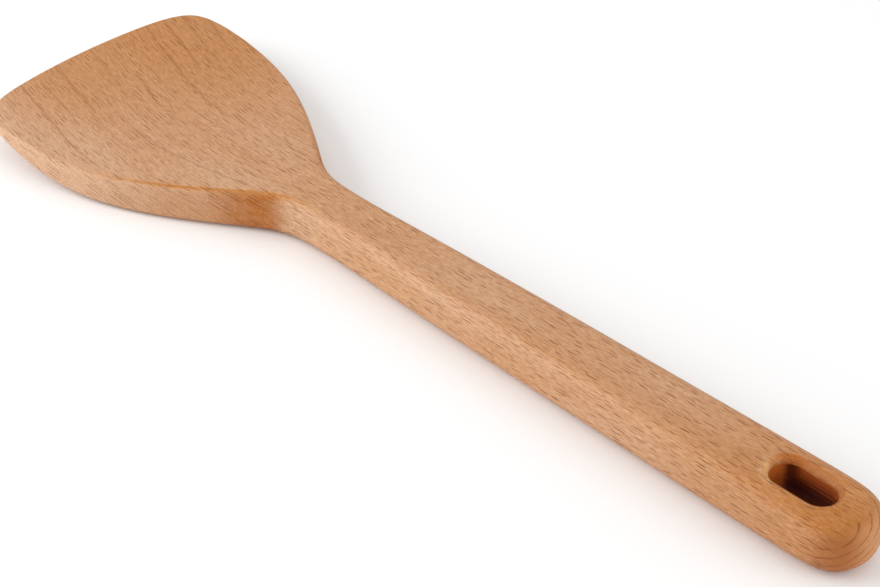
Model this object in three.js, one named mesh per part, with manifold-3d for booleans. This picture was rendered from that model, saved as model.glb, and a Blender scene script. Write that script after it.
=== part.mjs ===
import * as THREE from 'three';
import { mergeVertices } from 'three/addons/utils/BufferGeometryUtils.js';
import Module from 'manifold-3d';

// Wooden spatula, cut from one board. Millimetres, +Z up.
// The origin is the centre of the bounding box on the flat underside. +X runs along the
// length to the handle end, the front edge of the blade is at -X, and the plan is
// symmetric about Y = 0. Stations are distances from the handle end.

// ---- driving dimensions ----------------------------------------------------------------

const LENGTH = 300;

// Half plan: control polygon of a closed cubic B-spline, [station, half width].
const PLAN = [
  [-0.41, 0], [0.81, 4.75], [2.72, 8.2], [7.78, 11.45], [16.96, 11.65], [35.7, 11.1], [65.3, 10.5],
  [94.9, 10.15], [124.5, 9.72], [149.2, 9.2], [166.9, 8.48], [180.7, 7.95], [190.7, 8.06],
  [197.9, 8.81], [204.26, 11.62], [211.23, 16.42], [219.08, 21.63], [227.83, 27], [238.34, 32.68],
  [250.85, 37.84], [264.57, 40.91], [277.43, 41.67], [287.02, 41.39], [294.18, 38.99],
  [297.91, 30.38], [299.53, 15.92], [300.23, 0],
];

// Height of the top face: nearly straight along the handle, a shallow scoop across the blade.
const TOP_FACE = [
  [0, 15.95], [18, 16.12], [40, 16.08], [90, 15.5], [149, 14.4], [193, 13.66], [208, 12.75],
  [223, 11.65], [238, 10.7], [253, 10.05], [262, 10.1], [277, 10.75], [300, 11.5],
];

// Height of the underside: flat from the handle end to the blade, then a long bevel up to
// the thin front edge.
const UNDERSIDE = [[0, 0], [233, 0], [248, 0.5], [260, 1.6], [272.5, 3.65], [285, 6.15], [300, 8.75]];

// Radii of the rounded top and bottom edges.
const TOP_ROUND = [[0, 4.9], [13, 4.6], [60, 4.1], [149, 3.3], [193, 2.6], [208, 2.15], [258, 1.15], [300, 0.8]];
const BOTTOM_ROUND = [[0, 7.2], [13, 6.5], [60, 4.9], [149, 4.5], [193, 3.6], [208, 2.8], [258, 1.3], [285, 1.7], [300, 2.4]];
const MIN_SIDE = 0.3; // straight side kept between the two roundings

// Hanging slot: a long round-ended hole through the handle with rounded lips.
const SLOT_CENTRE = 21.55;
const SLOT_LENGTH = 19.1;
const SLOT_WIDTH = 9.4;
const SLOT_LIP = 1.9;

// Sanded, oiled beech.
const BEECH_COLOUR = 0xcd9b73;
const BEECH_ROUGHNESS = 0.55;

// Fineness of the facets.
const MAX_TURN = THREE.MathUtils.degToRad(8);
const MAX_STEP = 9;
const ROUND_STEPS = 4;
const SLOT_END_STEPS = 10;

// ---- curves ----------------------------------------------------------------------------

// Monotone cubic through [station, value] pairs.
function smooth(stations) {
  const xs = stations.map((p) => p[0]);
  const ys = stations.map((p) => p[1]);
  const n = xs.length;
  const h = [];
  const d = [];
  for (let i = 0; i < n - 1; i++) {
    h.push(xs[i + 1] - xs[i]);
    d.push((ys[i + 1] - ys[i]) / h[i]);
  }
  const end = (h0, h1, d0, d1) => {
    const m = ((2 * h0 + h1) * d0 - h0 * d1) / (h0 + h1);
    if (m * d0 <= 0) return 0;
    if (d0 * d1 <= 0 && Math.abs(m) > 3 * Math.abs(d0)) return 3 * d0;
    return m;
  };
  const m = [end(h[0], h[1], d[0], d[1])];
  for (let i = 1; i < n - 1; i++) {
    if (d[i - 1] * d[i] <= 0) {
      m.push(0);
    } else {
      const w1 = 2 * h[i] + h[i - 1];
      const w2 = h[i] + 2 * h[i - 1];
      m.push((w1 + w2) / (w1 / d[i - 1] + w2 / d[i]));
    }
  }
  m.push(end(h[n - 2], h[n - 3], d[n - 2], d[n - 3]));
  return (x) => {
    const c = Math.min(Math.max(x, xs[0]), xs[n - 1]);
    let i = 0;
    while (i < n - 2 && c > xs[i + 1]) i++;
    const t = (c - xs[i]) / h[i];
    const t2 = t * t;
    const t3 = t2 * t;
    return (2 * t3 - 3 * t2 + 1) * ys[i] + (t3 - 2 * t2 + t) * h[i] * m[i]
      + (3 * t2 - 2 * t3) * ys[i + 1] + (t3 - t2) * h[i] * m[i + 1];
  };
}

const topFace = smooth(TOP_FACE);
const underside = smooth(UNDERSIDE);
const topRound = smooth(TOP_ROUND);
const bottomRound = smooth(BOTTOM_ROUND);

// Points along one half of the plan, from the handle end to the front edge, each with its
// inward normal. They sit closer together where the outline turns.
function halfPlan() {
  const n = PLAN.length;
  const control = (i) => {
    if (i < 0) return [PLAN[-i][0], -PLAN[-i][1]];
    if (i >= n) return [PLAN[2 * (n - 1) - i][0], -PLAN[2 * (n - 1) - i][1]];
    return PLAN[i];
  };
  const at = (i, t) => {
    const b = [(1 - t) ** 3 / 6, (3 * t ** 3 - 6 * t ** 2 + 4) / 6, (-3 * t ** 3 + 3 * t ** 2 + 3 * t + 1) / 6, t ** 3 / 6];
    const g = [-((1 - t) ** 2) / 2, (3 * t ** 2 - 4 * t) / 2, (-3 * t ** 2 + 2 * t + 1) / 2, t ** 2 / 2];
    const p = { s: 0, y: 0, ts: 0, ty: 0 };
    for (let k = 0; k < 4; k++) {
      const c = control(i - 1 + k);
      p.s += b[k] * c[0];
      p.y += b[k] * c[1];
      p.ts += g[k] * c[0];
      p.ty += g[k] * c[1];
    }
    const l = Math.hypot(p.ts, p.ty);
    return { s: p.s, y: p.y, ns: p.ty / l, ny: -p.ts / l };
  };
  const first = { ...at(0, 0), y: 0, ns: 1, ny: 0 };
  const last = { ...at(n - 2, 1), y: 0, ns: -1, ny: 0 };
  const points = [first];
  const fine = 48;
  let turn = 0;
  let run = 0;
  let before = first;
  for (let i = 0; i < n - 1; i++) {
    for (let k = i === 0 ? 1 : 0; k < fine; k++) {
      const p = at(i, k / fine);
      turn += Math.acos(Math.min(1, before.ns * p.ns + before.ny * p.ny));
      run += Math.hypot(p.s - before.s, p.y - before.y);
      if (turn > MAX_TURN || run > MAX_STEP) {
        points.push(p);
        turn = 0;
        run = 0;
      }
      before = p;
    }
  }
  if (points[points.length - 1].y < 2) points.pop();
  points.push(last);
  return points;
}

// ---- solids ----------------------------------------------------------------------------

// Closed geometry from equal rings of [x, y, z], stacked from the first to the last and
// closed there by strips across the ring, from vertex 0 to the vertex half way round.
function ringSolid(rings) {
  const m = rings[0].length;
  const position = rings.flat(2);
  const index = [];
  for (let r = 0; r < rings.length - 1; r++) {
    for (let i = 0; i < m; i++) {
      const a = r * m + i;
      const b = r * m + ((i + 1) % m);
      index.push(a, b, b + m, a, b + m, a + m);
    }
  }
  const cap = (base, flip) => {
    const half = m / 2;
    const add = (a, b, c) => (flip ? index.push(base + a, base + c, base + b) : index.push(base + a, base + b, base + c));
    add(0, m - 1, 1);
    for (let i = 1; i < half - 1; i++) {
      add(i, m - i, m - i - 1);
      add(i, m - i - 1, i + 1);
    }
    add(half - 1, half + 1, half);
  };
  cap(0, false);
  cap((rings.length - 1) * m, true);
  let volume = 0;
  for (let i = 0; i < index.length; i += 3) {
    const [a, b, c] = [0, 1, 2].map((k) => new THREE.Vector3().fromArray(position, 3 * index[i + k]));
    volume += a.dot(b.cross(c)) / 6;
  }
  if (volume < 0) {
    for (let i = 0; i < index.length; i += 3) [index[i + 1], index[i + 2]] = [index[i + 2], index[i + 1]];
  }
  const geometry = new THREE.BufferGeometry();
  geometry.setAttribute('position', new THREE.Float32BufferAttribute(position, 3));
  geometry.setIndex(index);
  return mergeVertices(geometry, 1e-5);
}

function bodyGeometry() {
  const half = halfPlan();
  const ring = (inset, height) => {
    const place = (p, side) => {
      const s = p.s + p.ns * inset(p);
      return [LENGTH / 2 - s, side * (p.y + p.ny * inset(p)), height(p, s)];
    };
    return [
      ...half.map((p) => place(p, 1)),
      ...half.slice(1, -1).reverse().map((p) => place(p, -1)),
    ];
  };
  const top = (p) => topRound(p.s);
  const bottom = (p) => Math.min(bottomRound(p.s), Math.max(topFace(p.s) - underside(p.s) - top(p) - MIN_SIDE, 0.2));
  const rings = [];
  for (let k = ROUND_STEPS; k >= 0; k--) {
    const q = (k / ROUND_STEPS) * (Math.PI / 2);
    rings.push(ring((p) => top(p) * (1 - Math.cos(q)), (p, s) => topFace(s) - top(p) * (1 - Math.sin(q))));
  }
  for (let k = 0; k <= ROUND_STEPS; k++) {
    const q = (k / ROUND_STEPS) * (Math.PI / 2);
    rings.push(ring((p) => bottom(p) * (1 - Math.cos(q)), (p, s) => underside(s) + bottom(p) * (1 - Math.sin(q))));
  }
  return ringSolid(rings);
}

function slotGeometry() {
  const ring = (offset, height) => {
    const r = SLOT_WIDTH / 2 + offset;
    const run = SLOT_LENGTH / 2 - SLOT_WIDTH / 2;
    const points = [];
    for (const [side, from] of [[1, 0], [-1, Math.PI]]) {
      for (let k = 0; k <= SLOT_END_STEPS; k++) {
        const q = from - Math.PI / 2 + (k / SLOT_END_STEPS) * Math.PI;
        const s = SLOT_CENTRE + side * run + r * Math.cos(q);
        points.push([LENGTH / 2 - s, r * Math.sin(q), height(s)]);
      }
    }
    // start the ring at the middle of one end, so that strips across it stay square
    const start = SLOT_END_STEPS / 2;
    return [...points.slice(start), ...points.slice(0, start)];
  };
  const rings = [ring(SLOT_LIP, () => -2)];
  for (let k = 0; k <= ROUND_STEPS; k++) {
    const q = (k / ROUND_STEPS) * (Math.PI / 2);
    rings.push(ring(SLOT_LIP * (1 - Math.sin(q)), (s) => underside(s) + SLOT_LIP * (1 - Math.cos(q)) - (k === 0 ? 0.03 : 0)));
  }
  for (let k = ROUND_STEPS; k >= 0; k--) {
    const q = (k / ROUND_STEPS) * (Math.PI / 2);
    rings.push(ring(SLOT_LIP * (1 - Math.sin(q)), (s) => topFace(s) - SLOT_LIP * (1 - Math.cos(q)) + (k === 0 ? 0.03 : 0)));
  }
  rings.push(ring(SLOT_LIP, (s) => topFace(s) + 2));
  return ringSolid(rings);
}

const wasm = await Module();
wasm.setup();

function solid(geometry) {
  return new wasm.Manifold(new wasm.Mesh({
    numProp: 3,
    vertProperties: new Float32Array(geometry.attributes.position.array),
    triVerts: new Uint32Array(geometry.index.array),
  }));
}

function geometryOf(manifold) {
  const mesh = manifold.getMesh();
  const geometry = new THREE.BufferGeometry();
  geometry.setAttribute('position', new THREE.Float32BufferAttribute(mesh.vertProperties, 3));
  geometry.setIndex(new THREE.Uint32BufferAttribute(mesh.triVerts, 1));
  geometry.computeVertexNormals();
  return geometry;
}

// ---- the part --------------------------------------------------------------------------

const spatula = new THREE.Group();

const body = new THREE.Mesh(
  geometryOf(solid(bodyGeometry()).subtract(solid(slotGeometry()))),
  new THREE.MeshStandardMaterial({ color: BEECH_COLOUR, roughness: BEECH_ROUGHNESS, metalness: 0 }),
);
body.name = 'spatula_body';
spatula.add(body);

export default spatula;
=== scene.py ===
"""Wooden spatula lying on a pale studio floor. Metres, in the frame of the CAD model."""

import math

import bmesh
import bpy
import numpy as np
from mathutils import Matrix, Vector
from mathutils.geometry import delaunay_2d_cdt


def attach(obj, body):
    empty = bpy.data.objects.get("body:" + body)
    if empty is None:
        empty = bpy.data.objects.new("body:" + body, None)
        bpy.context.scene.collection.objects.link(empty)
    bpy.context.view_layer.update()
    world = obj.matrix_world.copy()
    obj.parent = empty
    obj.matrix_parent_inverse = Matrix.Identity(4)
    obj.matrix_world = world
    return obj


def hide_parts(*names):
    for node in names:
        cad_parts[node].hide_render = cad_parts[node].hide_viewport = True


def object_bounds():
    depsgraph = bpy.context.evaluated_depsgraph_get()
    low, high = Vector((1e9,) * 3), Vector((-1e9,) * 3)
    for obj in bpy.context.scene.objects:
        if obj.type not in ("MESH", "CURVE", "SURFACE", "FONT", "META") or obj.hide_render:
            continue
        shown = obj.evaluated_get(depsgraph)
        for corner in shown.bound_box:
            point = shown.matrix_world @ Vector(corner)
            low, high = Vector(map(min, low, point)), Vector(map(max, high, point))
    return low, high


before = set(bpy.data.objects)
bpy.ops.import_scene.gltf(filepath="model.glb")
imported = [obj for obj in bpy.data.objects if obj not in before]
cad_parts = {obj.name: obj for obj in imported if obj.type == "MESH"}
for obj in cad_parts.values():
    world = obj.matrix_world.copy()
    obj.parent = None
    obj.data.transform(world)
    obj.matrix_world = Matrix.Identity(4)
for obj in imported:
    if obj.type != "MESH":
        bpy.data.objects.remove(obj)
cad_low, cad_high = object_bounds()
MM = 0.001

# ---- shape of the body, in millimetres; stations run from the handle end -----------------

LENGTH = 300.0
PLAN = [
    (-0.41, 0), (0.81, 4.75), (2.72, 8.2), (7.78, 11.45), (16.96, 11.65), (35.7, 11.1), (65.3, 10.5),
    (94.9, 10.15), (124.5, 9.72), (149.2, 9.2), (166.9, 8.48), (180.7, 7.95), (190.7, 8.06),
    (197.9, 8.81), (204.26, 11.62), (211.23, 16.42), (219.08, 21.63), (227.83, 27), (238.34, 32.68),
    (250.85, 37.84), (264.57, 40.91), (277.43, 41.67), (287.02, 41.39), (294.18, 38.99),
    (297.91, 30.38), (299.53, 15.92), (300.23, 0),
]
TOP_FACE = [
    (0, 15.95), (18, 16.12), (40, 16.08), (90, 15.5), (149, 14.4), (193, 13.66), (208, 12.75),
    (223, 11.65), (238, 10.7), (253, 10.05), (262, 10.1), (277, 10.75), (300, 11.5),
]
UNDERSIDE = [(0, 0), (233, 0), (248, 0.5), (260, 1.6), (272.5, 3.65), (285, 6.15), (300, 8.75)]
TOP_ROUND = [(0, 4.9), (13, 4.6), (60, 4.1), (149, 3.3), (193, 2.6), (208, 2.15), (258, 1.15), (300, 0.8)]
BOTTOM_ROUND = [(0, 7.2), (13, 6.5), (60, 4.9), (149, 4.5), (193, 3.6), (208, 2.8), (258, 1.3), (285, 1.7), (300, 2.4)]
MIN_SIDE = 0.3
SLOT_CENTRE, SLOT_LENGTH, SLOT_WIDTH, SLOT_LIP = 21.55, 19.1, 9.4, 1.9
LOWER_LIP = 1.28     # how far the slot's lip opens out on the underside before it meets the rounding

ROUND_STEPS = 10     # facets across each rounded edge
SIDE_STEPS = 6       # facets up the sides
PLAN_STEP = 1.5      # longest facet along the outline
PLAN_TURN = 3.0      # largest turn between facets, degrees
FACE_GRID = 2.6      # spacing of points inside the broad faces


def smooth(stations):
    """Monotone cubic through (station, value) pairs, and its slope."""
    xs, ys = np.array(stations, float).T
    h = np.diff(xs)
    d = np.diff(ys) / h

    def end(h0, h1, d0, d1):
        m = ((2 * h0 + h1) * d0 - h0 * d1) / (h0 + h1)
        if m * d0 <= 0:
            return 0.0
        if d0 * d1 <= 0 and abs(m) > 3 * abs(d0):
            return 3 * d0
        return m

    m = np.zeros(len(xs))
    m[0] = end(h[0], h[1], d[0], d[1])
    m[-1] = end(h[-1], h[-2], d[-1], d[-2])
    for i in range(1, len(xs) - 1):
        if d[i - 1] * d[i] > 0:
            w1, w2 = 2 * h[i] + h[i - 1], h[i] + 2 * h[i - 1]
            m[i] = (w1 + w2) / (w1 / d[i - 1] + w2 / d[i])

    def value(x):
        c = np.clip(np.asarray(x, float), xs[0], xs[-1])
        i = np.clip(np.searchsorted(xs, c, side="right") - 1, 0, len(h) - 1)
        t = (c - xs[i]) / h[i]
        return ((2 * t**3 - 3 * t**2 + 1) * ys[i] + (t**3 - 2 * t**2 + t) * h[i] * m[i]
                + (3 * t**2 - 2 * t**3) * ys[i + 1] + (t**3 - t**2) * h[i] * m[i + 1])

    def slope(x):
        return (value(np.asarray(x) + 0.5) - value(np.asarray(x) - 0.5))

    value.slope = slope
    return value


top_face, underside = smooth(TOP_FACE), smooth(UNDERSIDE)
top_round, bottom_round = smooth(TOP_ROUND), smooth(BOTTOM_ROUND)


def half_plan():
    """Points of one half of the outline from the handle end to the front edge: station, half width and inward normal."""
    cp = np.array(PLAN, float)
    before, after = cp[1] * (1, -1), cp[-2] * (1, -1)
    cp = np.vstack([before, cp, after])
    t = np.arange(240) / 240
    b = np.stack([(1 - t) ** 3, 3 * t**3 - 6 * t**2 + 4, -3 * t**3 + 3 * t**2 + 3 * t + 1, t**3]) / 6
    p = np.concatenate([b.T @ cp[i:i + 4] for i in range(len(PLAN) - 1)] + [(cp[-3:-2] + cp[-2:-1] * 4 + cp[-1:]) / 6])
    tangent = np.gradient(p, axis=0)
    tangent /= np.linalg.norm(tangent, axis=1)[:, None]
    run = np.concatenate([[0], np.cumsum(np.linalg.norm(np.diff(p, axis=0), axis=1))])
    angle = np.unwrap(np.arctan2(tangent[:, 1], tangent[:, 0]))
    weight = np.concatenate([[0], np.cumsum(np.diff(run) / PLAN_STEP + np.abs(np.diff(angle)) / math.radians(PLAN_TURN))])
    n = int(weight[-1]) + 1
    at = np.interp(np.linspace(0, weight[-1], n + 1), weight, run)
    take = lambda v: np.interp(at, run, v)
    s, y, ts, ty = take(p[:, 0]), take(p[:, 1]), take(tangent[:, 0]), take(tangent[:, 1])
    l = np.hypot(ts, ty)
    ns, ny = ty / l, -ts / l
    y[[0, -1]] = 0
    ns[0], ny[0], ns[-1], ny[-1] = 1, 0, -1, 0
    return s, y, ns, ny


class Builder:
    """Collects vertices with their normals and the values that the material reads."""

    def __init__(self):
        self.co, self.no, self.edge, self.low, self.lip, self.deep, self.faces = [], [], [], [], [], [], []
        self.count = 0

    def add(self, s, y, z, normal, edge=0.0, low=0.0, lip=0.0, deep=0.0):
        n = len(s)
        self.co.append(np.stack([LENGTH / 2 - s, y, z], 1))
        self.no.append(normal / np.linalg.norm(normal, axis=1)[:, None])
        for store, v in ((self.edge, edge), (self.low, low), (self.lip, lip), (self.deep, deep)):
            store.append(np.broadcast_to(np.asarray(v, float), (n,)).copy())
        self.count += n
        return np.arange(self.count - n, self.count)

    def band(self, a, b):
        """Quads between two closed rings of vertex numbers."""
        m = len(a)
        for i in range(m):
            j = (i + 1) % m
            self.faces.append((a[i], a[j], b[j], b[i]))


def up_normal(s):
    g = top_face.slope(s)
    return np.stack([g, np.zeros_like(g), np.ones_like(g)], 1)


def down_normal(s):
    g = underside.slope(s)
    return np.stack([-g, np.zeros_like(g), -np.ones_like(g)], 1)


def inside(poly, pts):
    x, y = pts[:, 0][:, None], pts[:, 1][:, None]
    x0, y0 = poly.T
    x1, y1 = np.roll(poly, -1, 0).T
    cross = ((y0 > y) != (y1 > y)) & (x < (x1 - x0) * (y - y0) / np.where(y1 == y0, 1e-12, y1 - y0) + x0)
    return cross.sum(1) % 2 == 1


def near(poly, pts):
    a, b = poly, np.roll(poly, -1, 0)
    ab = b - a
    t = np.clip(((pts[:, None] - a) * ab).sum(2) / (ab**2).sum(1), 0, 1)
    return np.linalg.norm(pts[:, None] - (a + t[..., None] * ab), axis=2).min(1)


def build_body():
    w = Builder()
    s, y, ns, ny = half_plan()
    mirror = lambda v, f=1: np.concatenate([v, f * v[1:-1][::-1]])
    s, y, ns, ny = mirror(s), mirror(y, -1), mirror(ns), mirror(ny, -1)
    a = top_round(s)
    b = np.minimum(bottom_round(s), np.maximum(top_face(s) - underside(s) - a - MIN_SIDE, 0.2))
    out = np.stack([ns, -ny, np.zeros_like(ns)], 1)   # outward in the frame's x and y
    rings = []
    for i in range(ROUND_STEPS + 1):
        q = math.pi / 2 * (1 - i / ROUND_STEPS)
        rs, ry = s + ns * a * (1 - math.cos(q)), y + ny * a * (1 - math.cos(q))
        normal = math.cos(q) * out + math.sin(q) * up_normal(rs)
        rings.append(w.add(rs, ry, top_face(rs) - a * (1 - math.sin(q)), normal, edge=math.exp(-((q - 1.15) / 0.3) ** 2)))
    z_top, z_low = top_face(s) - a, underside(s) + b
    for i in range(1, SIDE_STEPS):
        f = i / SIDE_STEPS
        rings.append(w.add(s, y, z_top + (z_low - z_top) * f, out))
    # beside the slot the rounding of the underside runs into the slot's lip and stops there
    half = SLOT_LENGTH / 2 - SLOT_WIDTH / 2
    room = np.hypot(s - np.clip(s, SLOT_CENTRE - half, SLOT_CENTRE + half), y) - SLOT_WIDTH / 2 - LOWER_LIP - 0.05
    stop = np.arccos(np.clip(1 - room / b, 0, 1))
    # the low value marks the rounding of the underside, which the material darkens as painted shade
    for i in range(ROUND_STEPS + 1):
        q = stop * i / ROUND_STEPS
        rs, ry = s + ns * b * (1 - np.cos(q)), y + ny * b * (1 - np.cos(q))
        normal = np.cos(q)[:, None] * out + np.sin(q)[:, None] * down_normal(rs)
        rings.append(w.add(rs, ry, underside(rs) + b * (1 - np.sin(q)), normal, low=np.sin(q) * np.minimum(1, 2.5 * np.cos(q))))
    for r0, r1 in zip(rings, rings[1:]):
        w.band(r0, r1)

    # the slot: rounded lip, wall, rounded lip
    turn = np.linspace(-math.pi / 2, math.pi / 2, 33)
    straight = np.linspace(half, -half, 10)[1:-1]
    ray = np.concatenate([np.stack([np.cos(turn), np.sin(turn)], 1), np.tile([[0.0, 1.0]], (len(straight), 1)),
                          np.stack([-np.cos(turn), -np.sin(turn)], 1), np.tile([[0.0, -1.0]], (len(straight), 1))])
    core = np.concatenate([np.full(33, half), straight, np.full(33, -half), -straight])
    inward = np.stack([ray[:, 0], -ray[:, 1], np.zeros(len(ray))], 1)   # out of the wood, in the frame's x and y
    slot_rings = []
    lip = SLOT_LIP

    def ring(offset, height, normal, rim, deep):
        rs = SLOT_CENTRE + core + ray[:, 0] * (SLOT_WIDTH / 2 + offset)
        ry = ray[:, 1] * (SLOT_WIDTH / 2 + offset)
        slot_rings.append(w.add(rs, ry, height(rs), normal(rs), lip=rim, deep=deep))

    for i in range(9):
        q = math.pi / 2 * i / 8
        ring(lip * (1 - math.sin(q)), lambda v: top_face(v) - lip * (1 - math.cos(q)),
             lambda v: math.cos(q) * up_normal(v) + math.sin(q) * inward, math.sin(q), 0.0)
    for f in (0.005, 0.1, 0.2, 0.3, 0.4, 0.5, 0.6, 0.7, 0.8, 0.9, 0.995):
        ring(0, lambda v: (top_face(v) - lip) * (1 - f) + (underside(v) + lip) * f, lambda v: inward, 0.0, 0.2 + 0.8 * (1 - abs(2 * f - 1)))
    least = math.asin(1 - LOWER_LIP / lip)
    for i in range(8, -1, -1):
        q = least + (math.pi / 2 - least) * i / 8
        ring(lip * (1 - math.sin(q)), lambda v: underside(v) + lip * (1 - math.cos(q)),
             lambda v: math.cos(q) * down_normal(v) + math.sin(q) * inward, math.sin(q), 0.0)
    for r0, r1 in zip(slot_rings, slot_rings[1:]):
        w.band(r1, r0)

    # the broad faces: points on a staggered grid between the outline and the slot
    def fill(outer, hole, height, normal, flip):
        co = np.concatenate(w.co)
        po, ph = co[outer][:, :2], co[hole][:, :2]
        rows = []
        gy = np.arange(-44, 44.01, FACE_GRID * 0.866)
        for r, v in enumerate(gy):
            gx = np.arange(-151, 151, FACE_GRID) + (r % 2) * FACE_GRID / 2
            rows.append(np.stack([gx, np.full_like(gx, v)], 1))
        g = np.concatenate(rows)
        g = g[inside(po, g)]
        g = g[~inside(ph, g)]
        g = g[(near(po, g) > 0.9) & (near(ph, g) > 0.8)]
        gs = LENGTH / 2 - g[:, 0]
        extra = w.add(gs, g[:, 1], height(gs), normal(gs))
        ids = np.concatenate([outer, hole, extra])
        pts = [Vector(p) for p in np.concatenate([po, ph, g]).tolist()]
        no, nh = len(outer), len(hole)
        edges = [(i, (i + 1) % no) for i in range(no)] + [(no + i, no + (i + 1) % nh) for i in range(nh)]
        co2, _, tris, orig, _, _ = delaunay_2d_cdt(pts, edges, [], 0, 1e-6)
        flat = np.array([tuple(v) for v in co2])
        back = [o[0] for o in orig]
        mids = np.array([flat[list(t)].mean(0) for t in tris])
        keep = inside(po, mids) & ~inside(ph, mids)
        for t, ok in zip(tris, keep):
            if not ok:
                continue
            p, q, r = (flat[i] for i in t)
            area = (q[0] - p[0]) * (r[1] - p[1]) - (r[0] - p[0]) * (q[1] - p[1])
            tri = [int(ids[back[i]]) for i in t]
            w.faces.append(tuple(tri if (area > 0) != flip else tri[::-1]))

    fill(rings[0], slot_rings[0], top_face, up_normal, False)
    fill(rings[-1], slot_rings[-1], underside, down_normal, True)

    co, no = np.concatenate(w.co) * MM, np.concatenate(w.no)
    # facets as fine as these reach a little past the coarser CAD facets, so bring them back to the box
    for axis in range(3):
        lo, hi = co[:, axis].min(), co[:, axis].max()
        f = (cad_high[axis] - cad_low[axis]) / (hi - lo)
        if f < 1:
            co[:, axis] = cad_low[axis] + (co[:, axis] - lo) * f
        co[:, axis] = np.clip(co[:, axis], cad_low[axis], cad_high[axis])

    me = bpy.data.meshes.new("spatula_wood")
    me.from_pydata(co.tolist(), [], w.faces)
    bm = bmesh.new()
    bm.from_mesh(me)
    bmesh.ops.recalc_face_normals(bm, faces=bm.faces)
    open_edges = sum(not e.is_manifold for e in bm.edges)
    bm.to_mesh(me)
    bm.free()
    if open_edges:
        raise RuntimeError(f"{open_edges} open edges")
    me.shade_smooth()
    for name, values in (("edge", w.edge), ("low", w.low), ("lip", w.lip), ("deep", w.deep)):
        me.attributes.new(name, "FLOAT", "POINT").data.foreach_set("value", np.concatenate(values).astype(np.float32))
    me.normals_split_custom_set_from_vertices(no.tolist())
    ob = bpy.data.objects.new("spatula_wood", me)
    bpy.context.scene.collection.objects.link(ob)
    return ob


# ---- beech -------------------------------------------------------------------------------

class Nodes:
    """Short names for the shader nodes used below."""

    def __init__(self, tree):
        self.tree = tree

    def new(self, kind, **settings):
        n = self.tree.nodes.new(kind)
        for key, value in settings.items():
            setattr(n, key, value)
        return n

    def put(self, socket, value):
        if isinstance(value, bpy.types.NodeSocket):
            self.tree.links.new(value, socket)
        elif value is not None:
            socket.default_value = value

    def math(self, op, a, b=None, c=None, clamp=False):
        n = self.new("ShaderNodeMath", operation=op, use_clamp=clamp)
        for i, v in enumerate((a, b, c)):
            self.put(n.inputs[i], v)
        return n.outputs[0]

    def range(self, v, lo, hi, to_lo=0.0, to_hi=1.0, kind="SMOOTHSTEP"):
        n = self.new("ShaderNodeMapRange", interpolation_type=kind)
        self.put(n.inputs[0], v)
        for i, x in enumerate((lo, hi, to_lo, to_hi)):
            self.put(n.inputs[1 + i], x)
        return n.outputs[0]

    def vector(self, x, y, z):
        n = self.new("ShaderNodeCombineXYZ")
        for i, v in enumerate((x, y, z)):
            self.put(n.inputs[i], v)
        return n.outputs[0]

    def split(self, v):
        n = self.new("ShaderNodeSeparateXYZ")
        self.put(n.inputs[0], v)
        return n.outputs

    def noise(self, v, scale=1.0, detail=2.0, rough=0.5, distort=0.0):
        n = self.new("ShaderNodeTexNoise", noise_dimensions="3D")
        self.put(n.inputs["Vector"], v)
        for key, x in (("Scale", scale), ("Detail", detail), ("Roughness", rough), ("Distortion", distort)):
            self.put(n.inputs[key], x)
        return n.outputs[0]

    def cells(self, v):
        n = self.new("ShaderNodeTexVoronoi", voronoi_dimensions="2D", feature="F1")
        self.put(n.inputs["Vector"], v)
        n.inputs["Scale"].default_value = 1.0
        n.inputs["Randomness"].default_value = 0.9
        return n.outputs["Position"], n.outputs["Color"]

    def mix(self, f, a, b, kind="MIX"):
        n = self.new("ShaderNodeMix", data_type="RGBA", blend_type=kind)
        self.put(n.inputs[0], f)
        self.put(n.inputs[6], a)
        self.put(n.inputs[7], b)
        return n.outputs[2]

    def attribute(self, name):
        return self.new("ShaderNodeAttribute", attribute_name=name).outputs["Fac"]


def srgb(r, g, b):
    f = lambda c: (c / 12.92 if c <= 0.04045 else ((c + 0.055) / 1.055) ** 2.4)
    return (f(r / 255), f(g / 255), f(b / 255), 1.0)


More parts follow.
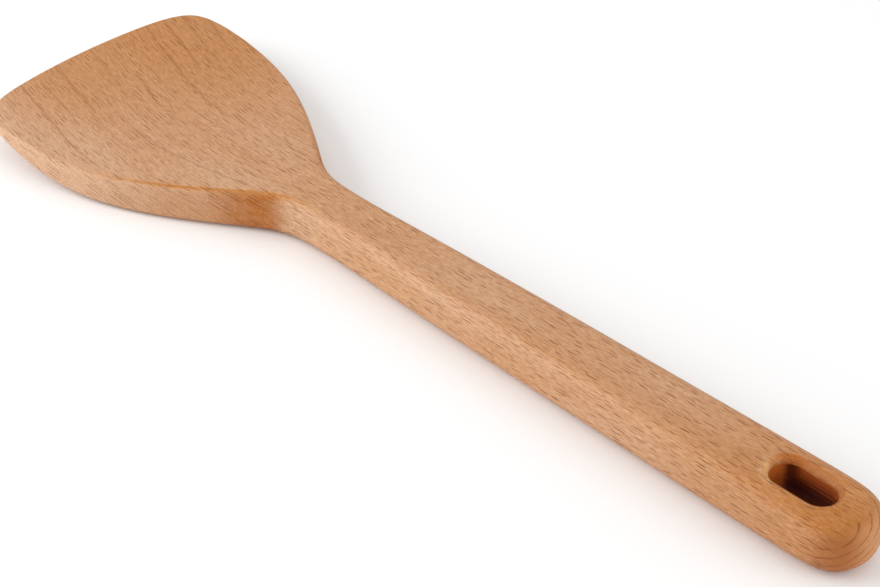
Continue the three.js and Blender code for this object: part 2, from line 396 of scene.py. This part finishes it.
def beech():
    mat = bpy.data.materials.new("beech_oiled")
    mat.use_nodes = True
    tree = mat.node_tree
    tree.nodes.clear()
    n = Nodes(tree)
    shader = n.new("ShaderNodeBsdfPrincipled")
    tree.links.new(shader.outputs[0], n.new("ShaderNodeOutputMaterial").inputs[0])
    coords = n.new("ShaderNodeTexCoord")
    add, sub, mul, div = (lambda a, b, k=k: n.math(k, a, b) for k in ("ADD", "SUBTRACT", "MULTIPLY", "DIVIDE"))

    # millimetres along the length, across and up
    mm = n.new("ShaderNodeVectorMath", operation="SCALE")
    n.put(mm.inputs[0], coords.outputs["Object"])
    mm.inputs[3].default_value = 1000.0
    x, y, z = n.split(mm.outputs[0])
    station = sub(LENGTH / 2, x)

    # the fibres run along the handle and swing across the blade towards its front
    past = n.math("MAXIMUM", div(sub(station, 212.0), 86.0), 0.0)
    swing = mul(n.math("POWER", past, 1.7), 12.0)
    slow = n.noise(n.vector(mul(x, 0.018), mul(y, 0.05), mul(z, 0.05)), 1.0, 2.0)
    slow2 = n.noise(n.vector(mul(x, 0.022), mul(y, 0.06), add(mul(z, 0.06), 17.0)), 1.0, 2.0)
    across = add(sub(y, swing), mul(sub(slow, 0.5), 3.0))
    height = add(z, mul(sub(slow2, 0.5), 1.2))
    tangent = add(mul(across, 0.76), mul(height, 0.65))
    radial = sub(mul(height, 0.76), mul(across, 0.65))

    def fibre(length, width, shift=0.0):
        return n.vector(add(div(x, length), shift * 0.37), add(div(tangent, width), shift), div(radial, width))

    # growth rings: layers that lean across the piece
    lean = add(mul(station, -0.0008), 0.66)
    ripple = n.noise(n.vector(mul(x, 0.03), mul(y, 0.08), mul(z, 0.08)), 1.0, 2.0)
    layer = add(sub(sub(z, mul(sub(y, swing), lean)), mul(station, 0.0034)), mul(sub(ripple, 0.5), 0.9))
    waver = n.noise(n.vector(mul(x, 0.3), mul(y, 0.35), mul(z, 0.3)), 1.0, 2.0)
    layer = add(layer, mul(sub(waver, 0.5), 0.7))
    turn = div(layer, 2.85)
    gap = n.math("ABSOLUTE", sub(n.math("FRACT", add(turn, 0.5)), 0.5))
    late = n.range(n.math("FRACT", turn), 0.55, 0.0, 0.0, 1.0)
    fade = n.range(n.noise(fibre(60.0, 5.0, 41.0), 1.0, 1.0), 0.42, 0.62)
    mark = n.range(gap, 0.11, 0.03)

    # ray flecks: thin spindles along the fibres, one to a cell, longer on the handle than on the blade
    toward, ny, nz = n.split(coords.outputs["Normal"])
    nx = n.math("ABSOLUTE", toward)
    flat = n.math("ABSOLUTE", nz)
    upright = n.range(flat, 0.8, 0.35)

    def spindles(v, length, pitch, reach, wide, shift, span):
        p = n.vector(add(div(x, length), shift), add(div(v, pitch), shift * 1.7), 0.0)
        centre, random = n.cells(p)
        u, w, _ = n.split(p)
        cu, cw, _ = n.split(centre)
        a, b, c = n.split(random)
        du = div(mul(sub(u, cu), length), n.range(a, 0.0, 1.0, reach * 0.5, reach, "LINEAR"))
        dw = mul(sub(w, cw), pitch / wide)
        d = n.math("SQRT", add(mul(du, du), mul(dw, dw)))
        ink = mul(n.range(d, 1.0, 0.82), n.range(b, 0.0, 0.95, 0.25, 1.0, "LINEAR"))
        if span is None:
            return ink
        # over this stretch of stations they thin out one by one
        there = sub(LENGTH / 2, mul(sub(cu, shift), length))
        return mul(ink, n.math("GREATER_THAN", n.range(there, *span), c))

    # each is the edge of a ribbon that runs into the wood along the rays; where a surface lies
    # almost along the rays, the ribbons of the mirrored lean stand in
    tilt = add(mul(across, 0.73), mul(height, 0.68))
    back = sub(mul(across, 0.73), mul(height, 0.68))
    meets = n.range(n.math("ABSOLUTE", sub(mul(nz, 0.73), mul(ny, 0.68))), 0.35, 0.39)

    def flecks(length, pitch, reach, wide, shift, span=None):
        a = mul(spindles(tilt, length, pitch, reach, wide, shift, span), meets)
        b = mul(spindles(back, length, pitch, reach, wide, shift + 3.3, span), sub(1.0, meets))
        return n.math("MAXIMUM", a, b)

    blade = n.range(station, 185.0, 232.0)
    long = mul(flecks(6.7, 0.92, 2.5, 0.084, 0.0, (228.0, 190.0)), n.range(station, 50.0, 150.0, 1.0, 0.9))
    short = flecks(7.4, 0.86, 3.0, 0.064, 11.0, (186.0, 224.0))
    faint = mul(flecks(5.0, 0.75, 2.0, 0.056, 23.0), 0.42)
    fleck = n.math("MAXIMUM", n.math("MAXIMUM", long, short), faint)
    streak = n.noise(fibre(24.0, 0.8), 1.0, 4.0, 0.6)
    thread = n.noise(fibre(2.0, 0.26, 7.0), 1.0, 1.0, 0.5)
    band = n.noise(fibre(80.0, 4.5, 5.0), 1.0, 2.0, 0.5)
    tone = n.noise(fibre(90.0, 14.0, 11.0), 1.0, 1.0, 0.5)

    # colour: rosy on the grip, amber on the far front of the blade and about the handle end, and painted light on the
    # near flank
    # the blade is darker amber towards its far front and paler towards its near front
    far_front = mul(n.range(y, -22.0, 34.0), n.range(station, 225.0, 274.0))
    butt = n.range(station, 72.0, 8.0)
    neck = mul(n.range(station, 125.0, 165.0), n.range(station, 218.0, 190.0))
    flank = mul(mul(n.range(ny, -0.35, -0.85), upright), n.range(station, 165.0, 200.0))
    flank = mul(flank, sub(1.0, mul(mul(n.range(station, 206.0, 214.0), n.range(station, 252.0, 228.0)), 0.8)))
    near_front_pale = mul(n.range(y, -14.0, -40.0), n.range(station, 215.0, 262.0))
    colour = n.mix(n.range(band, 0.34, 0.66, kind="LINEAR"), srgb(212, 171, 136), srgb(199, 152, 113))
    colour = n.mix(mul(n.range(tone, 0.4, 0.66), 0.5), colour, srgb(195, 143, 98))
    colour = n.mix(mul(blade, 0.5), colour, srgb(197, 147, 105))
    colour = n.mix(mul(far_front, 0.85), colour, srgb(191, 131, 76))
    colour = n.mix(mul(neck, 0.28), colour, srgb(194, 138, 84))
    front = mul(n.range(station, 258.0, 290.0), mul(n.range(y, 34.0, 16.0), n.range(y, -44.0, -24.0)))
    colour = n.mix(mul(front, 0.52), colour, srgb(190, 128, 70))
    crook = mul(mul(n.range(station, 192.0, 202.0), n.range(station, 246.0, 214.0)), mul(n.range(y, -2.0, -13.0), n.range(nz, 0.7, 0.95)))
    colour = n.mix(mul(crook, 0.27), colour, srgb(218, 184, 152))
    colour = n.mix(mul(butt, n.range(upright, 0.0, 1.0, 0.89, 0.5)), colour, srgb(186, 118, 54))
    gold = mul(mul(n.range(station, 20.0, 8.0), n.range(nz, 0.4, 0.95)), n.range(y, 5.0, -5.0))
    colour = n.mix(mul(gold, 0.3), colour, srgb(180, 104, 20))
    rear = mul(mul(n.range(station, 18.0, 10.0), n.range(y, 0.0, 5.0)), n.range(nz, 0.4, 0.9))
    colour = n.mix(mul(rear, 0.2), colour, srgb(216, 158, 106))
    # painted light: the near flank is made paler
    colour = n.mix(mul(flank, 0.45), colour, srgb(218, 184, 154))
    colour = n.mix(mul(near_front_pale, 0.4), colour, srgb(224, 186, 156))

    # along the handle: amber on the far shoulder and the near ridge, and painted light low on the near side towards
    # the neck
    stem = mul(n.range(station, 28.0, 45.0), n.range(station, 196.0, 184.0))
    far = mul(mul(n.range(y, 4.0, 8.5), n.range(nz, 0.05, 0.4)), stem)
    colour = n.mix(mul(far, 0.22), colour, srgb(176, 112, 58))
    ridge = mul(mul(n.range(y, -2.0, -6.5), n.range(nz, 0.6, 0.95)), mul(n.range(station, 38.0, 60.0), n.range(station, 155.0, 130.0)))
    colour = n.mix(mul(ridge, 0.14), colour, srgb(180, 110, 40))
    near_side = mul(mul(n.range(ny, -0.5, -0.95), upright), stem)
    # painted light: the near side is lifted towards the neck
    colour = n.mix(mul(near_side, n.range(station, 98.0, 135.0, 0.0, 0.19)), colour, srgb(222, 188, 154))
    colour = n.mix(mul(near_side, n.range(station, 100.0, 80.0, 0.0, 0.12)), colour, srgb(180, 120, 70))

    # the hollow of each shoulder is darker and redder, and the edge above it darker and more orange; the rounding
    # along the underside carries painted shade
    patchy = n.range(n.noise(fibre(12.0, 1.6, 2.0), 1.0, 3.0, 0.6), 0.32, 0.66, 0.78, 1.0)
    shoulder_dark = mul(mul(n.range(station, 195.2, 204.0), n.range(station, 222.0, 206.0)), n.range(flat, 0.95, 0.7))
    colour = n.mix(mul(mul(shoulder_dark, patchy), 0.97), colour, srgb(173, 95, 0))
    edge = mul(n.attribute("edge"), patchy)
    along = mul(mul(n.range(station, 188.0, 204.0), n.range(station, 257.0, 228.0)), n.range(y, 10.0, -10.0, 0.3, 1.0))
    colour = n.mix(mul(edge, add(mul(along, 0.94), 0.05)), colour, srgb(188, 114, 20))
    # painted shade: the rounding along the underside is darkened and reddened
    low = mul(n.attribute("low"), patchy)
    colour = n.mix(mul(low, 0.35), colour, srgb(184, 108, 48))

    # end grain drinks more oil: darker and redder on the two ends; the near side of the handle end below the top is
    # darker still, and the near half of the end face gets a painted highlight
    ends = n.math("MAXIMUM", n.range(station, 20.0, 9.0), n.range(station, 282.0, 295.0))
    end = mul(n.range(nx, 0.45, 0.9), ends)
    colour = n.mix(mul(end, 0.3), colour, srgb(178, 98, 36))
    end_side_dark = mul(mul(n.range(station, 14.0, 4.0), n.range(y, 3.0, -8.0)), n.range(nz, 0.95, 0.4))
    colour = n.mix(mul(end_side_dark, 0.68), colour, srgb(162, 86, 16))
    # painted highlight on the near half of the handle's end face
    end_highlight = mul(n.range(toward, 0.3, 0.85), mul(n.range(y, -8.0, 0.0), n.range(station, 12.0, 5.0)))
    colour = n.mix(mul(end_highlight, 0.6), colour, srgb(226, 164, 112))

    # the slot's lips: pale on the near end towards the blade, partly fresh-cut wood and partly painted highlight,
    # golden on that end, and darker brown on the far side; a painted highlight also lies on the top face round that
    # end
    lip = n.attribute("lip")
    lip_face = n.range(lip, 0.0, 0.45)
    past_end = sub(station, SLOT_CENTRE + (SLOT_LENGTH - SLOT_WIDTH) / 2)
    reach_out = n.math("SQRT", add(mul(past_end, past_end), mul(y, y)))
    near_end = mul(n.range(y, 0.8, -2.4), n.range(past_end, -1.0, 2.0))
    # painted highlight on the top face round the slot's end nearer the blade
    slot_end_highlight = mul(mul(n.range(reach_out, 8.3, 6.8), n.range(nz, 0.7, 0.95)), near_end)
    colour = n.mix(mul(slot_end_highlight, 0.3), colour, srgb(244, 198, 146))
    colour = n.mix(mul(mul(lip_face, n.range(toward, 0.1, 0.5)), 0.55), colour, srgb(220, 142, 62))
    # partly fresh-cut wood, partly painted highlight: the lip at that end is made pale
    colour = n.mix(mul(mul(lip_face, n.range(toward, 0.1, 0.5)), n.range(y, 0.8, -2.4, 0.0, 0.72)), colour, srgb(252, 198, 136))
    colour = n.mix(mul(mul(lip_face, n.range(y, 2.2, 4.4)), 0.55), colour, srgb(172, 96, 16))
    colour = n.mix(mul(mul(lip_face, n.range(toward, -0.1, -0.45)), 0.42), colour, srgb(140, 78, 22))
    far_lip_dark = mul(n.range(y, 1.4, 4.0), n.range(station, 21.0, 27.0))
    colour = n.mix(mul(mul(n.range(lip, 0.0, 0.2), far_lip_dark), 0.8), colour, srgb(172, 88, 8))

    # texture over all of it: streaks, threads, ring lines, flecks
    colour = n.mix(n.range(streak, 0.3, 0.72, 0.0, 0.14, "LINEAR"), colour, srgb(170, 110, 58))
    colour = n.mix(mul(n.range(thread, 0.4, 0.75, 0.0, 0.5, "LINEAR"), sub(1.0, mul(blade, 0.2))), colour, srgb(156, 94, 42))
    turned = mul(n.range(nx, 0.12, 0.5), ends)
    colour = n.mix(mul(n.range(thread, 0.5, 0.25, 0.0, 0.16, "LINEAR"), sub(1.0, turned)), colour, srgb(236, 196, 160))
    colour = n.mix(mul(late, 0.07), colour, srgb(172, 110, 60))
    drawn = mul(mul(n.range(station, 15.0, 7.0), n.range(flat, 0.985, 0.9)), n.range(layer, 18.9, 18.2))
    drawn = mul(drawn, n.range(n.noise(fibre(12.0, 2.5, 43.0), 1.0, 1.0), 0.3, 0.6, 0.3, 1.0))
    colour = n.mix(mul(n.range(gap, 0.12, 0.03), mul(drawn, 0.64)), colour, srgb(126, 58, 8))
    colour = n.mix(mul(mul(mark, fade), mul(blade, n.range(upright, 0.0, 1.0, 0.3, 0.06))), colour, srgb(138, 76, 28))
    less = mul(sub(1.0, mul(end, 0.75)), n.range(station, 2.5, 6.5))
    inked = n.mix(upright, n.mix(blade, srgb(118, 44, 0), srgb(104, 38, 0)), srgb(92, 34, 0))
    inked = n.mix(butt, inked, srgb(84, 26, 0))
    colour = n.mix(mul(mul(fleck, less), 0.97), colour, inked)

    # the slot's wall is scorched from the drill; painted shade darkens it most in the middle of its depth and at the
    # far corner, and painted light lifts the end wall nearer the blade
    deep = n.attribute("deep")
    wall = n.range(deep, 0.0, 0.19, kind="LINEAR")
    grain = n.range(n.noise(fibre(16.0, 0.7, 23.0), 1.0, 3.0, 0.6), 0.35, 0.65)
    colour = n.mix(mul(wall, 0.93), colour, n.mix(grain, srgb(172, 80, 16), srgb(140, 54, 6)))
    # painted light: the end wall nearer the blade, which faces the rim light, is made lighter and more orange
    colour = n.mix(mul(mul(wall, n.range(toward, 0.5, 0.9)), 0.75), colour, srgb(218, 118, 38))
    # painted shade: darkest in the middle of the wall's depth and towards the far corner, less on the end wall nearer
    # the blade
    corner = mul(mul(n.range(station, 24.0, 28.5), n.range(y, 1.5, 4.0)), wall)
    slot_shade = n.math("MAXIMUM", n.range(add(deep, mul(sub(grain, 0.5), 0.12)), 0.22, 1.0), mul(corner, 0.8))
    slot_shade = mul(mul(slot_shade, n.range(toward, 0.5, 0.85, 1.0, 0.2)), n.range(station, 15.0, 23.0, 0.8, 1.0))
    colour = n.mix(mul(slot_shade, 0.96), colour, srgb(58, 0, 0))

    n.put(shader.inputs["Base Color"], colour)
    rough = add(n.range(streak, 0.25, 0.75, 0.46, 0.6, "LINEAR"), mul(fleck, 0.12))
    n.put(shader.inputs["Roughness"], sub(rough, mul(edge, 0.08)))
    shader.inputs["IOR"].default_value = 1.45
    shader.inputs["Specular IOR Level"].default_value = 0.28

    bump = n.new("ShaderNodeBump")
    bump.inputs["Strength"].default_value = 0.4
    bump.inputs["Distance"].default_value = 0.0001
    n.put(bump.inputs["Height"], sub(mul(thread, 0.6), mul(fleck, 0.5)))
    n.put(shader.inputs["Normal"], bump.outputs[0])
    return mat


body = build_body()
body.data.materials.append(beech())
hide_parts("spatula_body")
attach(body, "root")

# ---- studio ------------------------------------------------------------------------------

scene = bpy.context.scene
scene.view_settings.view_transform = "Standard"
scene.view_settings.look = "None"

floor_mesh = bpy.data.meshes.new("floor")
floor_mesh.from_pydata([(-4, -4, -0.0004), (4, -4, -0.0004), (4, 4, -0.0004), (-4, 4, -0.0004)], [], [(0, 1, 2, 3)])
floor = bpy.data.objects.new("floor", floor_mesh)
scene.collection.objects.link(floor)
paper = bpy.data.materials.new("floor_paper")
paper.use_nodes = True
paper.node_tree.nodes["Principled BSDF"].inputs["Base Color"].default_value = (0.95, 0.95, 0.95, 1)
paper.node_tree.nodes["Principled BSDF"].inputs["Roughness"].default_value = 0.9
paper.node_tree.nodes["Principled BSDF"].inputs["Specular IOR Level"].default_value = 0.0
floor_mesh.materials.append(paper)

world = bpy.data.worlds.new("studio")
world.use_nodes = True
world.node_tree.nodes["Background"].inputs["Color"].default_value = (1, 1, 1, 1)
world.node_tree.nodes["Background"].inputs["Strength"].default_value = 0.78
scene.world = world


def soft_box(name, place, aim, size, power):
    light = bpy.data.lights.new(name, "AREA")
    light.shape = "RECTANGLE"
    light.size, light.size_y = size
    light.energy = power
    ob = bpy.data.objects.new(name, light)
    ob.location = place
    ob.rotation_mode = "QUATERNION"
    ob.rotation_quaternion = (Vector(aim) - Vector(place)).to_track_quat("-Z", "Y")
    scene.collection.objects.link(ob)
    return ob


# ---- camera ------------------------------------------------------------------------------

AZIMUTH, ELEVATION, ROLL = math.radians(45.4697), math.radians(37.566), math.radians(-0.028)
FOCAL = 2546.4              # pixels across an 880 x 587 picture
DISTANCE = 685.33           # millimetres to the reference point along the view
REFERENCE = Vector((LENGTH / 2 - 149.162, 0.0, 6.906))
REFERENCE_PIXEL = (430.348, 279.997)

right = Vector((math.cos(AZIMUTH), math.sin(AZIMUTH), 0))
level = Vector((-math.sin(AZIMUTH), math.cos(AZIMUTH), 0))
up = level * math.sin(ELEVATION) + Vector((0, 0, math.cos(ELEVATION)))
forward = level * math.cos(ELEVATION) - Vector((0, 0, math.sin(ELEVATION)))
c, s = math.cos(ROLL), math.sin(ROLL)
right, up = right * c - up * s, right * s + up * c
side = (REFERENCE_PIXEL[0] - 440.0) * DISTANCE / FOCAL
rise = -(REFERENCE_PIXEL[1] - 293.5) * DISTANCE / FOCAL
place = (REFERENCE - (right * side + up * rise + forward * DISTANCE)) * MM

lens = bpy.data.cameras.new("camera")
lens.sensor_fit = "HORIZONTAL"
lens.sensor_width = 36.0
lens.lens = FOCAL / 880.0 * 36.0
lens.clip_start, lens.clip_end = 0.01, 50.0
camera = bpy.data.objects.new("camera", lens)
camera.matrix_world = Matrix((
    (right.x, up.x, -forward.x, place.x),
    (right.y, up.y, -forward.y, place.y),
    (right.z, up.z, -forward.z, place.z),
    (0, 0, 0, 1),
))
scene.collection.objects.link(camera)
scene.camera = camera

# a large soft box, low to the left of the camera, and a weaker one behind on the right
KEY_RISE, RIM_RISE = math.radians(27), math.radians(32)
key_way = Vector((-0.73 * math.cos(KEY_RISE), -0.68 * math.cos(KEY_RISE), math.sin(KEY_RISE)))
rim_way = Vector((0.95 * math.cos(RIM_RISE), 0.3 * math.cos(RIM_RISE), math.sin(RIM_RISE)))
soft_box("key", tuple(key_way * 1.3), (0, 0, 0), (0.9, 0.9), 10.5)
soft_box("rim", tuple(rim_way * 1.3), (0, 0, 0), (0.8, 0.8), 2.6)
